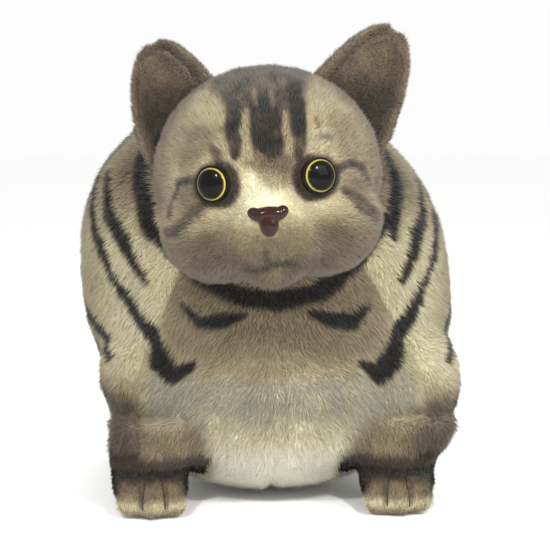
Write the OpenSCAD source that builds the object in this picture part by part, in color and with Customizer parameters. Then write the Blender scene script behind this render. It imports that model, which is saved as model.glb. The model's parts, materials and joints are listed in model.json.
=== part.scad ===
// A round, standing plush cat, sewn from panels of short pile cloth and filled.
// Millimetres, +Z up. The cat looks along -Y, and stands on its paw soles at Z = 0.
// Its head turns on a disc joint in the neck, and its tail swings at the root.

/* [Body] */
// Radius of the round torso
torso_r = 113; // [110:1:116]
// Straight length between the torso's two round ends
torso_mid = 12; // [6:2:20]
// Gap between the belly and the floor
belly_gap = 5; // [3:1:8]
// Thickness of the cloth with its pile pressed flat
skin = 3; // [2.5:0.5:3.5]
// Height at which the side panels would meet over the back
seam_top = 232; // [226:2:240]
// How far the belly seam runs in for each millimetre of height
seam_lean = 0.48; // [0.44:0.02:0.52]

/* [Legs] */
// Distance of the front legs from the middle
front_leg_x = 66; // [62:1:70]
// Distance of the hind legs from the middle
hind_leg_x = 62; // [58:1:66]
// Place of the front legs along the body, from its middle
front_leg_y = -81; // [-84:1:-76]
// Place of the hind legs along the body, from its middle
hind_leg_y = 77; // [70:1:82]
// Radius of a leg sleeve
leg_r = 18; // [16:0.5:19]
// Radius of a paw, which is half its width
paw_r = 21; // [20:0.5:22]
// How far a paw's middle stands in front of its leg's
paw_ahead = 6; // [4:1:8]
// Height of a paw's middle above the floor
paw_z = 12; // [10:1:13]
// Thickness of a paw sole
sole_t = 2.5; // [2:0.5:3]

/* [Head] */
// Radius of the head
head_r = 59; // [58:0.5:60]
// How far the head is tipped to its left shoulder, in degrees
head_tip = 4.5; // [0:0.5:8]
// How far the head is turned to its right, in degrees
head_turn = 4; // [0:1:8]
// Radius of the muzzle
muzzle_r = 27; // [25:1:29]

/* [Ears] */
// Width of an ear at its root
ear_w = 48; // [44:1:50]
// Height of an ear above its root line
ear_h = 42; // [38:1:44]
// Thickness of one ear layer
ear_t = 4; // [3:0.5:5]

/* [Face] */
// Diameter of an eye's black rim
eye_d = 18; // [16:0.5:19]
// Distance of an eye from the middle of the face
eye_x = 25.5; // [24:0.5:27]
// Height of the eyes above the head's centre
eye_z = 1; // [0:0.5:4]
// Width of the nose
nose_w = 20; // [18:0.5:22]
// Height of the nose
nose_h = 14; // [13:0.5:16]

/* [Neck joint] */
// Slope of the neck axis above level, in degrees
neck_rise = 30; // [27:1:33]
// How far the neck axis is turned to the cat's right, in degrees
neck_turn_out = 2.6; // [0:0.2:4]
// Distance from the front ball's centre of the torso to the joint's plane
neck_reach = 101.3; // [100:0.1:103]
// Distance from the joint's plane to the head's centre
head_reach = 31.5; // [30.5:0.1:33]
// Gap between the head and the torso at the joint
neck_gap = 0.5; // [0.4:0.1:0.8]
// Radius of the joint's discs
disc_r = 32; // [28:1:36]
// Radius of the joint's stem
stem_r = 5; // [4:0.5:6]

/* [Tail] */
// Radius of the tail
tail_r = 11; // [10:0.5:12]
// Height of the tail's root above the torso's axis
tail_rise = 33; // [28:1:38]
// Radius of the tail's bend
tail_bend_r = 72; // [66:2:80]
// Slope of the tail at its root, down from level, in degrees
tail_start = 18; // [14:1:24]
// Slope of the tail at its tip, down from level, in degrees
tail_end = 96; // [88:1:104]

/* [Hidden] */
$fn = 96;

// Places worked out from the driving sizes. The whole cat is shifted by y_mid, so
// that its box is centred on the origin from nose to tail.
far = 400;
y_mid = 0.35;
torso_z = torso_r + belly_gap;
torso_front = [0, y_mid - torso_mid / 2, torso_z];
torso_back = [0, y_mid + torso_mid / 2, torso_z];
neck_axis = [-sin(neck_turn_out) * cos(neck_rise), -cos(neck_turn_out) * cos(neck_rise),
             sin(neck_rise)];
neck_c = torso_front + neck_reach * neck_axis;
head_c = neck_c + head_reach * neck_axis;
leg_top = torso_z - 32;
legs = [
    [front_leg_x, y_mid + front_leg_y],
    [-front_leg_x, y_mid + front_leg_y],
    [hind_leg_x, y_mid + hind_leg_y],
    [-hind_leg_x, y_mid + hind_leg_y]];

// Face hardware
shank_r = 2.5;
shank_len = 16;
washer_r = 8;
washer_t = 2.5;
washer_depth = 4.8;
rim_t = 2;
seat_depth = 0.9;
muzzle_c = [0, -38, -23];
eye_y = -sqrt(pow(head_r, 2) - pow(eye_x, 2) - pow(eye_z, 2));
eye_yaw = asin(eye_x / head_r);
eye_pitch = asin(eye_z / head_r);
nose_z = 4;
nose_rise = asin(nose_z / muzzle_r);

// The tail hangs in one bend, in the plane X = 0, between a ball at its root and one
// at its tip, which are a little fatter than it is
tail_gap = 0.5;
ball_r = tail_r + 1;
tail_root = [0,
    torso_back[1] + sqrt(pow(torso_r + tail_gap + ball_r, 2) - pow(tail_rise, 2)),
    torso_z + tail_rise];
tail_tip = tail_root + tail_bend_r * [
    0, sin(tail_end) - sin(tail_start), cos(tail_end) - cos(tail_start)];

// ---- shared shapes -----------------------------------------------------------

// A cylinder with round ends, along Y, drawn as one turned outline
module capsule_y(r, mid) {
    rotate([90, 0, 0])
        rotate_extrude()
            intersection() {
                union() {
                    translate([0, mid / 2]) circle(r);
                    translate([0, -mid / 2]) circle(r);
                    square([2 * r, mid], center = true);
                }
                translate([0, -r - mid]) square([2 * r, 2 * r + 2 * mid]);
            }
}

// The torso's outside, drawn in by a margin
module torso(inset = 0) {
    translate([0, y_mid, torso_z]) capsule_y(torso_r - inset, torso_mid);
}

// A frame with its origin in the joint's plane and +Z along the neck, to the head
module at_neck() {
    translate(neck_c) rotate([90 - neck_rise, 0, -neck_turn_out]) children();
}

// Everything on the torso's side of the joint, down to a depth behind its plane
module behind_neck(depth) {
    at_neck() translate([-far, -far, -2 * far - depth]) cube(2 * far);
}

// The head's own frame: its origin at the head's centre, the face along -Y
module at_head() {
    translate(head_c) rotate([0, -head_tip, -head_turn]) children();
}

// The head's outside with its muzzle, drawn in by a margin. Its ball stands in the
// neck's frame, so that the joint's plane cuts it along a parallel
module head_shape(inset = 0) {
    at_neck() translate([0, 0, head_reach]) sphere(head_r - inset);
    at_head() translate(muzzle_c) sphere(muzzle_r - inset);
}

// Everything on the head's side of the joint, from a depth in front of its plane
module before_neck(depth) {
    at_neck() translate([-far, -far, depth]) cube(2 * far);
}

// ---- torso -------------------------------------------------------------------

// The belly panels end between the hind legs, and at the neck
crotch_y = 100;
crotch_z = 20;
chest_y = 150;
chest_z = 264;

// The space that the left belly panel takes up: under the belly seam, and in front
// of a plane that closes it between the hind legs
module belly_region() {
    intersection() {
        translate([0, far, 0])
            rotate([90, 0, 0])
                linear_extrude(2 * far)
                    polygon([[0, -far], [seam_lean * (seam_top + far), -far], [0, seam_top]]);
        rotate([90, 0, 90])
            translate([0, 0, -far])
                linear_extrude(2 * far)
                    polygon([[-far, -far], [far, -far], [y_mid + crotch_y, crotch_z],
                             [y_mid - chest_y, chest_z], [-far, chest_z]]);
    }
}

module torso_shell() {
    difference() {
        torso();
        torso(skin);
    }
}

// The torso's right half is the left one's mirror image, as far as the neck
module on_side(side) {
    if (side > 0) children();
    else mirror([1, 0, 0]) children();
}

module side_panel(side) {
    color("DarkKhaki")
        intersection() {
            on_side(side)
                difference() {
                    intersection() {
                        torso_shell();
                        translate([0, -far, -far]) cube([far, 2 * far, 2 * far]);
                    }
                    belly_region();
                }
            behind_neck(neck_gap / 2);
        }
}

module belly_panel(side) {
    color("Beige")
        intersection() {
            on_side(side)
                intersection() {
                    torso_shell();
                    belly_region();
                }
            behind_neck(neck_gap / 2);
        }
}

// The round of cloth that closes the torso at the joint
module body_neck_panel() {
    color("Tan")
        difference() {
            intersection() {
                torso(skin);
                behind_neck(neck_gap / 2);
            }
            behind_neck(neck_gap / 2 + skin);
            at_neck() cylinder(h = 40, r = stem_r + 0.6, center = true);
        }
}

disc_t = 4;
lock_t = 3;
stem_len = skin + disc_t + lock_t + 4;
module body_filling() {
    color("White")
        difference() {
            intersection() {
                torso(skin);
                behind_neck(neck_gap / 2 + skin);
            }
            at_neck()
                translate([0, 0, -neck_gap / 2 - skin - disc_t])
                    cylinder(h = 2 * disc_t, r = disc_r + 0.5);
            at_neck()
                translate([0, 0, -neck_gap / 2 - stem_len - 4])
                    cylinder(h = stem_len, r = stem_r + 6);
        }
}

// A blank folded label, caught in the seam under the tail
label_place = [30, y_mid + 70, 44];
label_size = [0.8, 38, 16];
module sewn_label() {
    color("White")
        difference() {
            translate(label_place) cube(label_size);
            torso();
        }
}

// ---- legs --------------------------------------------------------------------

module paw_shape(inset = 0) {
    translate([0, -paw_ahead, paw_z]) sphere(paw_r - inset);
}

module above(z) {
    translate([-far / 2, -far / 2, z]) cube(far);
}

module at_leg(i) {
    translate([legs[i][0], legs[i][1], 0]) children();
}

module leg_sleeve(i) {
    color("Gray")
        difference() {
            at_leg(i)
                difference() {
                    translate([0, 0, paw_z]) cylinder(h = leg_top - paw_z, r = leg_r);
                    cylinder(h = leg_top, r = leg_r - skin);
                    paw_shape();
                }
            torso();
        }
}

module paw_cover(i) {
    color("RosyBrown")
        at_leg(i)
            difference() {
                intersection() {
                    paw_shape();
                    above(sole_t);
                }
                paw_shape(skin);
                translate([0, 0, paw_z]) cylinder(h = far, r = leg_r - skin);
            }
}

module paw_sole(i) {
    color("Wheat")
        at_leg(i)
            difference() {
                intersection() {
                    paw_shape();
                    above(0);
                }
                above(sole_t);
            }
}

module leg_filling(i) {
    color("White") {
        at_leg(i)
            intersection() {
                paw_shape(skin);
                above(sole_t);
            }
        difference() {
            at_leg(i) translate([0, 0, paw_z]) cylinder(h = leg_top - paw_z, r = leg_r - skin);
            torso();
        }
    }
}

// Two thread lines over the front of each paw, which mark off the toes
stitch_r = 0.7;
module toe_stitches() {
    color("DimGray")
        for (i = [0:3], turn = [-20, 20])
            at_leg(i)
                translate([0, -paw_ahead, paw_z])
                    difference() {
                        rotate([90, 0, turn - 90])
                            rotate([0, 0, -12])
                                rotate_extrude(angle = 62)
                                    translate([paw_r, 0]) circle(stitch_r, $fn = 24);
                        sphere(paw_r);
                    }
}

// ---- head --------------------------------------------------------------------

// Frames that stand on the face at an eye and at the nose, with +Z outwards
module at_eye(side) {
    at_head()
        translate([side * eye_x, eye_y, eye_z])
            rotate([90 - eye_pitch, 0, side * eye_yaw])
                children();
}

module at_nose() {
    at_head()
        translate(muzzle_c)
            rotate([90 - nose_rise, 0, 0])
                translate([0, 0, muzzle_r])
                    children();
}

// What the face hardware takes out of the cloth and out of the filling
module face_seats() {
    for (side = [-1, 1])
        at_eye(side) {
            translate([0, 0, -seat_depth]) cylinder(h = 10, r = eye_d / 2 + 0.1);
            translate([0, 0, -10]) cylinder(h = 20, r = shank_r);
        }
    at_nose() translate([0, 0, -10]) cylinder(h = 10, r = shank_r);
}

module washer_rooms() {
    for (side = [-1, 1])
        at_eye(side) washer_room();
    at_nose() washer_room();
}

module washer_room() {
    translate([0, 0, -washer_depth - washer_t - 0.5]) cylinder(h = washer_depth + washer_t, r = washer_r + 0.4);
    translate([0, 0, -shank_len - 2]) cylinder(h = shank_len, r = shank_r + 0.3);
}

module head_shell() {
    difference() {
        intersection() {
            difference() {
                head_shape();
                head_shape(skin);
            }
            before_neck(neck_gap / 2);
        }
        face_seats();
    }
}

// The gusset is a wedge that starts at the nose and widens over the top of the head
module gusset_region() {
    at_head()
        translate([0, far, 0])
            rotate([90, 0, 0])
                linear_extrude(2 * far)
                    polygon([[-12, -18], [12, -18], [30, 70], [-30, 70]]);
}

module chin_region() {
    at_head()
        translate([0, far, 0])
            rotate([90, 0, 0])
                linear_extrude(2 * far)
                    polygon([[-12, -18], [-44, -80], [44, -80], [12, -18]]);
}

module head_gusset() {
    color("SlateGray")
        intersection() {
            head_shell();
            gusset_region();
        }
}

module chin_panel() {
    color("Bisque")
        intersection() {
            head_shell();
            chin_region();
        }
}

module cheek_panel(side) {
    color("BurlyWood")
        difference() {
            intersection() {
                head_shell();
                at_head()
                    translate([side > 0 ? 0 : -far, -far, -far]) cube([far, 2 * far, 2 * far]);
            }
            gusset_region();
            chin_region();
        }
}

module head_neck_panel() {
    color("Tan")
        difference() {
            intersection() {
                head_shape(skin);
                before_neck(neck_gap / 2);
            }
            before_neck(neck_gap / 2 + skin);
            at_neck() cylinder(h = 40, r = stem_r, center = true);
        }
}

module head_filling() {
    color("White")
        difference() {
            intersection() {
                head_shape(skin);
                before_neck(neck_gap / 2 + skin);
            }
            washer_rooms();
            at_neck() cylinder(h = neck_gap / 2 + skin + disc_t, r = disc_r);
        }
}

// ---- ears --------------------------------------------------------------------

// An ear is cut from a hollow ball, so both of its layers are cupped to the front
ear_cup_r = 75;
ear_cup_depth = 5;
ear_tip_r = 10;
ear_foot = 14;
module ear_outline() {
    polygon([[-ear_w / 2, -ear_foot], [ear_w / 2, -ear_foot], [ear_w / 2, 0],
             [ear_tip_r * 0.86, ear_h - ear_tip_r * 0.5],
             [-ear_tip_r * 0.86, ear_h - ear_tip_r * 0.5], [-ear_w / 2, 0]]);
    translate([0, ear_h - ear_tip_r]) circle(ear_tip_r);
}

// The middle of each ear's root, and how far the ear leans out, in degrees
ear_root = [[44, 5, 33], [-42, 5, 37]];
ear_lean = [32, -14];
ear_face_out = 14;
module at_ear(side) {
    i = side > 0 ? 0 : 1;
    at_head()
        translate(ear_root[i])
            rotate([90, ear_lean[i], side * ear_face_out])
                children();
}

module ear_layer(side, outer, inner) {
    difference() {
        at_ear(side)
            intersection() {
                translate([0, 0, -30]) linear_extrude(60) ear_outline();
                translate([0, ear_h / 4, ear_cup_r - ear_cup_depth])
                    difference() {
                        sphere(outer);
                        sphere(inner);
                    }
            }
        head_shape();
    }
}

module ear_back(side) {
    color("Gray") ear_layer(side, ear_cup_r, ear_cup_r - ear_t);
}

module ear_lining(side) {
    color("SaddleBrown") ear_layer(side, ear_cup_r - ear_t, ear_cup_r - 2 * ear_t);
}

// ---- eyes and nose -----------------------------------------------------------

iris_r = eye_d / 2 - 0.8;
iris_t = 0.6;
lens_h = 4.6;
module eye_base(side) {
    color("Black")
        at_eye(side)
            difference() {
                union() {
                    translate([0, 0, -seat_depth]) cylinder(h = seat_depth + rim_t, r = eye_d / 2);
                    translate([0, 0, -shank_len]) cylinder(h = shank_len, r = shank_r);
                }
                translate([0, 0, rim_t - 1]) cylinder(h = 2, r = iris_r);
            }
}

module eye_iris(side) {
    color("Gold")
        at_eye(side)
            translate([0, 0, rim_t - 1])
                cylinder(h = iris_t, r = iris_r);
}

module eye_lens(side) {
    lens_ball = (pow(iris_r, 2) + pow(lens_h, 2)) / (2 * lens_h);
    color("DarkSlateGray", 0.6)
        at_eye(side)
            translate([0, 0, rim_t - 1 + iris_t])
                intersection() {
                    translate([0, 0, lens_h - lens_ball]) sphere(lens_ball);
                    cylinder(h = 2 * lens_h, r = 2 * iris_r);
                }
}

module lock_washer() {
    translate([0, 0, -washer_depth - washer_t])
        difference() {
            cylinder(h = washer_t, r = washer_r);
            translate([0, 0, -1]) cylinder(h = washer_t + 2, r = shank_r);
        }
}

module eye_washer(side) {
    color("White") at_eye(side) lock_washer();
}

// The nose is a wide bar over a short stem, domed as the muzzle is
nose_proud = 3.2;
bar_h = 6;
stem_w = 8;
module nose_outline() {
    translate([0, nose_h / 2 - bar_h / 2]) square([nose_w - bar_h, bar_h], center = true);
    for (side = [-1, 1])
        translate([side * (nose_w - bar_h) / 2, nose_h / 2 - bar_h / 2]) circle(bar_h / 2);
    translate([-stem_w / 2, stem_w / 2 - nose_h / 2]) square([stem_w, nose_h - stem_w / 2 - 1]);
    translate([0, stem_w / 2 - nose_h / 2]) circle(stem_w / 2);
}

module nose() {
    color("Maroon") {
        difference() {
            intersection() {
                at_nose() translate([0, 0, -10]) linear_extrude(20) nose_outline();
                at_head() translate(muzzle_c) sphere(muzzle_r + nose_proud);
            }
            at_head() translate(muzzle_c) sphere(muzzle_r);
        }
        at_nose() translate([0, 0, -shank_len]) cylinder(h = shank_len + 1, r = shank_r);
    }
}

module nose_washer() {
    color("White") at_nose() lock_washer();
}

// ---- neck joint --------------------------------------------------------------

// The disc in the head carries a stem, which goes through the disc in the torso
stem_fit = 0.05;
module neck_stem_disc() {
    color("Ivory")
        at_neck() {
            translate([0, 0, neck_gap / 2 + skin]) cylinder(h = disc_t, r = disc_r);
            translate([0, 0, -neck_gap / 2 - stem_len]) cylinder(h = stem_len + skin + neck_gap + 1, r = stem_r);
        }
}

module neck_body_disc() {
    color("Ivory")
        at_neck()
            translate([0, 0, -neck_gap / 2 - skin - disc_t])
                difference() {
                    cylinder(h = disc_t, r = disc_r);
                    translate([0, 0, -1]) cylinder(h = disc_t + 2, r = stem_r + stem_fit);
                }
}

// The washer is pressed on the stem and holds the two discs together
module neck_lock_washer() {
    color("Silver")
        at_neck()
            translate([0, 0, -neck_gap / 2 - skin - disc_t - lock_t - 0.4])
                difference() {
                    cylinder(h = lock_t, r = stem_r + 5);
                    translate([0, 0, -1]) cylinder(h = lock_t + 2, r = stem_r);
                }
}

// ---- tail --------------------------------------------------------------------

module tail_shape(inset = 0) {
    translate(tail_root) {
        sphere(ball_r - inset);
        rotate([90, 0, 90])
            rotate([0, 0, -tail_start])
                translate([0, -tail_bend_r])
                    rotate([0, 0, 90 - tail_end + tail_start])
                        rotate_extrude(angle = tail_end - tail_start)
                            translate([tail_bend_r, 0]) circle(tail_r - inset);
    }
    translate(tail_tip) sphere(ball_r - inset);
}

module tail_skin() {
    color("DimGray")
        difference() {
            tail_shape();
            tail_shape(skin);
        }
}

module tail_filling() {
    color("White") tail_shape(skin);
}

// ---- what is drawn -----------------------------------------------------------

side_panel(1);  // left_side_panel
side_panel(-1);  // right_side_panel
belly_panel(1);  // left_belly_panel
belly_panel(-1);  // right_belly_panel
body_neck_panel();
body_filling();
sewn_label();
for (i = [0:3]) {
    leg = ["front_left", "front_right", "hind_left", "hind_right"][i];
    leg_sleeve(i);
    paw_cover(i);
    paw_sole(i);
    leg_filling(i);
}
toe_stitches();
head_gusset();
cheek_panel(1);  // left_cheek_panel
cheek_panel(-1);  // right_cheek_panel
chin_panel();
head_neck_panel();
head_filling();
ear_back(1);  // left_ear_back
ear_lining(1);  // left_ear_lining
ear_back(-1);  // right_ear_back
ear_lining(-1);  // right_ear_lining
eye_base(1);  // left_eye_base
eye_iris(1);  // left_eye_iris
eye_lens(1);  // left_eye_lens
eye_washer(1);  // left_eye_washer
eye_base(-1);  // right_eye_base
eye_iris(-1);  // right_eye_iris
eye_lens(-1);  // right_eye_lens
eye_washer(-1);  // right_eye_washer
nose();
nose_washer();
neck_stem_disc();
neck_body_disc();
neck_lock_washer();
tail_skin();
tail_filling();
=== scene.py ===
# %% [markdown]
# # A plush cat with a turning head
# The toy is a fat, ball-bodied cat on four short legs. Its cloth skins are sewn over
# filling, and a printed pile of short fur stands on the cloth. Every hard size comes from
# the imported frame, so the first step is to load that and to keep its box.

# %% Load the frame
import json
import math

import bmesh
import bpy
import numpy as np
from mathutils import Matrix, Vector
from mathutils.bvhtree import BVHTree


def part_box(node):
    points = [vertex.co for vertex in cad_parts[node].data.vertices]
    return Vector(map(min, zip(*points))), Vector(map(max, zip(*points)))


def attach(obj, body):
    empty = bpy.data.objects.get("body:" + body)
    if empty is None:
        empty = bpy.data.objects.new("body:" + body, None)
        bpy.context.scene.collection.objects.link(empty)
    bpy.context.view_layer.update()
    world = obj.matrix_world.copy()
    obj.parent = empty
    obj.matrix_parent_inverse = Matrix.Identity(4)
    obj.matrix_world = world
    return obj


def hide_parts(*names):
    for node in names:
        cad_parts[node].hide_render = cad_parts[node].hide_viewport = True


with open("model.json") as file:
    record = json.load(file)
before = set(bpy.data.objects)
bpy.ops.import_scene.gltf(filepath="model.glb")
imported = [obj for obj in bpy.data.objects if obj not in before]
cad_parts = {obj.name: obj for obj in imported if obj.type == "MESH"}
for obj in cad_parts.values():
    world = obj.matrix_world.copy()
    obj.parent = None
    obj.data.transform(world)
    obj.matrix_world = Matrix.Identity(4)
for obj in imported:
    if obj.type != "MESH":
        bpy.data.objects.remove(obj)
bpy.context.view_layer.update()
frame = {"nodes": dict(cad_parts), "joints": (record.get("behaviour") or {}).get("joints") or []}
MM = 0.001

# %% [markdown]
# ## Where the big shapes stand
# The torso's middle and half sizes are read from its four panels, the neck from its joint,
# and the head stands a short way along the neck's axis, tipped and turned a little.

# %% Places taken from the frame
def span(*names):
    """Lowest and highest corner of several CAD nodes together."""
    boxes = [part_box(name) for name in names]
    low = Vector([min(b[0][i] for b in boxes) for i in range(3)])
    high = Vector([max(b[1][i] for b in boxes) for i in range(3)])
    return low, high


low, high = span("left_side_panel", "right_side_panel", "left_belly_panel", "right_belly_panel")
TORSO_AT = (low + high) / 2
TORSO_HALF = (high - low) / 2
neck_joint = next(j for j in frame["joints"] if j["name"] == "neck_turn")
tail_joint = next(j for j in frame["joints"] if j["name"] == "tail_swing")
NECK_AT = Vector(neck_joint["pos_m"])
NECK_AXIS = Vector(neck_joint["axis"]).normalized()
HEAD_REACH = 31.5 * MM
HEAD_AT = NECK_AT + HEAD_REACH * NECK_AXIS
HEAD_TIP, HEAD_TURN = math.radians(4.5), math.radians(4)
HEAD = (Matrix.Translation(HEAD_AT) @ Matrix.Rotation(-HEAD_TURN, 4, "Z")
        @ Matrix.Rotation(-HEAD_TIP, 4, "Y"))
print("torso", TORSO_AT, TORSO_HALF, "head", HEAD_AT)

# %% [markdown]
# ## Camera, light and floor
# A long lens stands a little to the cat's right and slightly above its middle. The light
# is a pale room with big soft lamps. Two of them are small, and show as bright windows in
# the eyes. The low one lifts the belly, and is kept out of every reflection.

# %% Camera
CAMERA_TARGET = Vector((5.4, 0, 122.3)) * MM
CAMERA_REACH, CAMERA_LENS = 0.9, 97.3
camera_turn, camera_rise = math.radians(-3.3), math.radians(5.5)
camera = bpy.data.objects.new("camera", bpy.data.cameras.new("camera"))
bpy.context.scene.collection.objects.link(camera)
back = Vector((math.sin(camera_turn) * math.cos(camera_rise),
               -math.cos(camera_turn) * math.cos(camera_rise), math.sin(camera_rise)))
camera.location = CAMERA_TARGET + back * CAMERA_REACH
camera.rotation_euler = (-back).to_track_quat("-Z", "Y").to_euler()
camera.data.lens = CAMERA_LENS
camera.data.clip_start = 0.01
bpy.context.scene.camera = camera
print("camera at", camera.location)


# %% Light and floor
def soft_lamp(name, place, width, height, power, tint=(1, 1, 1)):
    """An area lamp that looks at the cat's middle."""
    data = bpy.data.lights.new(name, "AREA")
    data.shape = "RECTANGLE"
    data.size, data.size_y = width, height
    data.energy, data.color = power, tint
    lamp = bpy.data.objects.new(name, data)
    bpy.context.scene.collection.objects.link(lamp)
    lamp.location = place
    lamp.rotation_euler = (TORSO_AT - Vector(place)).to_track_quat("-Z", "Y").to_euler()
    return lamp


soft_lamp("left_window", (-0.4, -1.0, 0.82), 0.05, 0.13, 8.5, (1, 0.985, 0.95))
soft_lamp("right_window", (0.4, -1.0, 0.82), 0.05, 0.13, 8.5, (1, 0.985, 0.95))
soft_lamp("fill_lamp", (0.9, -0.9, 0.7), 0.8, 0.8, 5, (1, 1, 0.97))
low_lamp = soft_lamp("low_lamp", (0, -1.4, 0.1), 0.9, 0.3, 7.5)
low_lamp.visible_glossy = False
soft_lamp("back_lamp", (0.2, 1.2, 1.1), 0.9, 0.9, 7)

room = bpy.data.worlds.new("pale_room")
room.use_nodes = True
room.node_tree.nodes["Background"].inputs["Color"].default_value = (1, 1, 1, 1)
room.node_tree.nodes["Background"].inputs["Strength"].default_value = 0.98
bpy.context.scene.world = room
bpy.context.scene.view_settings.view_transform = "Standard"

bm = bmesh.new()
bmesh.ops.create_grid(bm, x_segments=2, y_segments=2, size=12)
floor_mesh = bpy.data.meshes.new("floor")
bm.to_mesh(floor_mesh)
bm.free()
floor = bpy.data.objects.new("floor", floor_mesh)
bpy.context.scene.collection.objects.link(floor)
floor_paint = bpy.data.materials.new("floor_paint")
floor_paint.use_nodes = True
floor_paint.node_tree.nodes["Principled BSDF"].inputs["Base Color"].default_value = (0.985, 0.985, 0.98, 1)
floor_paint.node_tree.nodes["Principled BSDF"].inputs["Roughness"].default_value = 0.9
floor_mesh.materials.append(floor_paint)
print("lamps and floor stand")

# %% [markdown]
# ## Colours of the print
# The pile is one cloth, printed with black stripes on a sandy ground. A printed colour, with
# a few marks of painted shade laid in, is worked out for any point of the cat, and both the
# cloth and the hairs take it from there.
# Hairs can't carry a picture cheaply, so each one picks the nearest of a few dyes, with a
# little chance in the choice: from a step away the dyes mix, as real fibres do.

# %% Dyes
DYES = {
    "soot": (13, 13, 9), "charcoal": (34, 33, 27), "dusk": (58, 55, 46),
    "slate": (88, 86, 78), "bark": (60, 47, 35), "umber": (86, 72, 56),
    "taupe": (112, 98, 78), "fawn": (138, 124, 99), "sand": (160, 149, 120),
    "straw": (181, 174, 142), "oat": (203, 196, 166), "cream": (222, 216, 190),
    "ivory": (238, 235, 218), "ash": (150, 148, 134),
}


def linear(colour):
    """A colour given as 0 to 255, as the renderer's light values."""
    c = np.asarray(colour, float) / 255
    return np.where(c <= 0.04045, c / 12.92, ((c + 0.055) / 1.055) ** 2.4)


def dyed_fibre(name, colour):
    """Soft, matt fibre of one dye, with the pale edge that fine hairs have."""
    fibre = bpy.data.materials.new("fibre_" + name)
    fibre.use_nodes = True
    shader = fibre.node_tree.nodes["Principled BSDF"]
    shader.inputs["Base Color"].default_value = (*linear(colour), 1)
    shader.inputs["Roughness"].default_value = 0.72
    shader.inputs["Specular IOR Level"].default_value = 0.25
    shader.inputs["Sheen Weight"].default_value = 0.25
    shader.inputs["Sheen Roughness"].default_value = 0.45
    shader.inputs["Sheen Tint"].default_value = (*(0.4 + 0.6 * linear(colour)), 1)
    return fibre


FIBRES = [dyed_fibre(name, colour) for name, colour in DYES.items()]
DYE_VALUES = np.array(list(DYES.values()), float)
print(len(FIBRES), "dyes")


# %% [markdown]
# ## Small tools for the print
# Noise keeps the print from looking drawn. A stroke is a few points on a ball, given as
# an angle round it and an angle up it, with a half width in millimetres at each.

# %% Noise and strokes
def cloud(points, size, seed):
    """Smooth values from -1 to 1 that change over about `size` metres."""
    q = points / size + seed * 7.31
    cell = np.floor(q).astype(np.int64)
    f = q - cell
    f = f * f * (3 - 2 * f)
    total = np.zeros(len(points))
    for corner in np.ndindex(2, 2, 2):
        c = cell + np.array(corner)
        h = (c[:, 0] * 73856093) ^ (c[:, 1] * 19349663) ^ (c[:, 2] * 83492791) ^ (seed * 9781)
        h = (h & 0x7FFFFFFF) * 48271 % 0x7FFFFFFF
        h = ((h ^ (h >> 11)) * 69621) % 0x7FFFFFFF
        weight = np.prod(np.where(corner, f, 1 - f), axis=1)
        total += weight * (h / 0x3FFFFFFF - 1)
    return total


def step(value, start, end):
    """0 before start, 1 after end, and smooth between them."""
    t = np.clip((value - start) / (end - start), 0, 1)
    return t * t * (3 - 2 * t)


def on_ball(around, up):
    """The direction at an angle round the cat's left, from its front, and an angle up."""
    a, e = math.radians(around), math.radians(up)
    return np.array([math.sin(a) * math.cos(e), -math.cos(a) * math.cos(e), math.sin(e)])


def stroke(directions, radius, marks, soft=1.2):
    """How strongly each direction is inside a stroke, 0 to 1, on a ball of that radius in mm."""
    dots = [on_ball(a, e) * radius for a, e, _ in marks]
    halves = [w for _, _, w in marks]
    points = directions * radius
    inside = np.full(len(points), -9.0)
    if len(dots) == 1:
        dots, halves = dots * 2, halves * 2
    for a, b, wa, wb in zip(dots, dots[1:], halves, halves[1:]):
        pieces = max(1, int(np.linalg.norm(b - a) / 9))
        for k in range(pieces):
            p, q = a + (b - a) * k / pieces, a + (b - a) * (k + 1) / pieces
            p, q = p / np.linalg.norm(p) * radius, q / np.linalg.norm(q) * radius
            run = q - p
            t = np.clip((points - p) @ run / max(run @ run, 1e-9), 0, 1)
            away = np.linalg.norm(points - p - t[:, None] * run, axis=1)
            half = wa + (wb - wa) * (k + t) / pieces
            inside = np.maximum(inside, half - away)
    return step(inside, -soft, soft)


def over(colours, colour, share):
    """Colours with another laid over them."""
    return colours + (np.asarray(colour, float) - colours) * np.asarray(share)[:, None]


# %% [markdown]
# ## The torso's print
# Greenish sand on the sides, warm fawn on the chest, and a belly that fades to white. Each
# stripe has a twin on the other side. The stripes of the flanks run down from the spine,
# so those are given by how far back they start and how far round the barrel they reach.

# %% Torso print
COLLAR = [(-38, 20, 3.4), (-25, 9.5, 4.6), (-12, 2.5, 5.4), (0, 0.5, 5.8), (12, 3, 5.4),
          (24, 12, 4.6), (36, 22, 3.8)]
CHEST_MARK = [(9, -3, 2), (15, -5, 4.2), (21, -5.5, 4), (26, -1.5, 1.5)]
SIDE_MARKS = [
    [(52, 6, 2), (45, -1, 4), (38, -9, 4.8), (33, -16, 5), (29, -19.5, 4.2), (24, -17, 2.2)],
    [(57, 46, 3), (48, 34, 4.4), (40, 24, 5), (37, 17, 3)],
    [(70, 34, 3), (58, 24, 4.4), (48, 16, 5), (38, 5, 2.2)],
    [(80, 32, 3.5), (72, 24, 4.4), (58, 12, 4), (51, 5, 2)],
    [(84, -4, 4), (72, -9, 4.4), (52, -16.5, 2.2)],
    [(86, -16, 4), (73, -21, 4.4), (56, -27, 2.4)],
    [(90, -27, 4), (79, -34, 4.4), (68, -40, 2.4)],
    [(86, -40, 4), (75, -46, 4), (66, -51, 2.4)],
]
FLANK_STARTS = (-44, -20, 4, 28, 52, 76, 98)
BALL_R = 116

# The body leans to the cat's right as it rises. The seam is straight on an upright body,
# and turns down beside the legs.
LEAN, LEAN_FROM, LEAN_FULL = 0.08, 24, 48
SEAM_REACH, SEAM_LEAN, SEAM_DROP = 114.4, 0.48, 80


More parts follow.
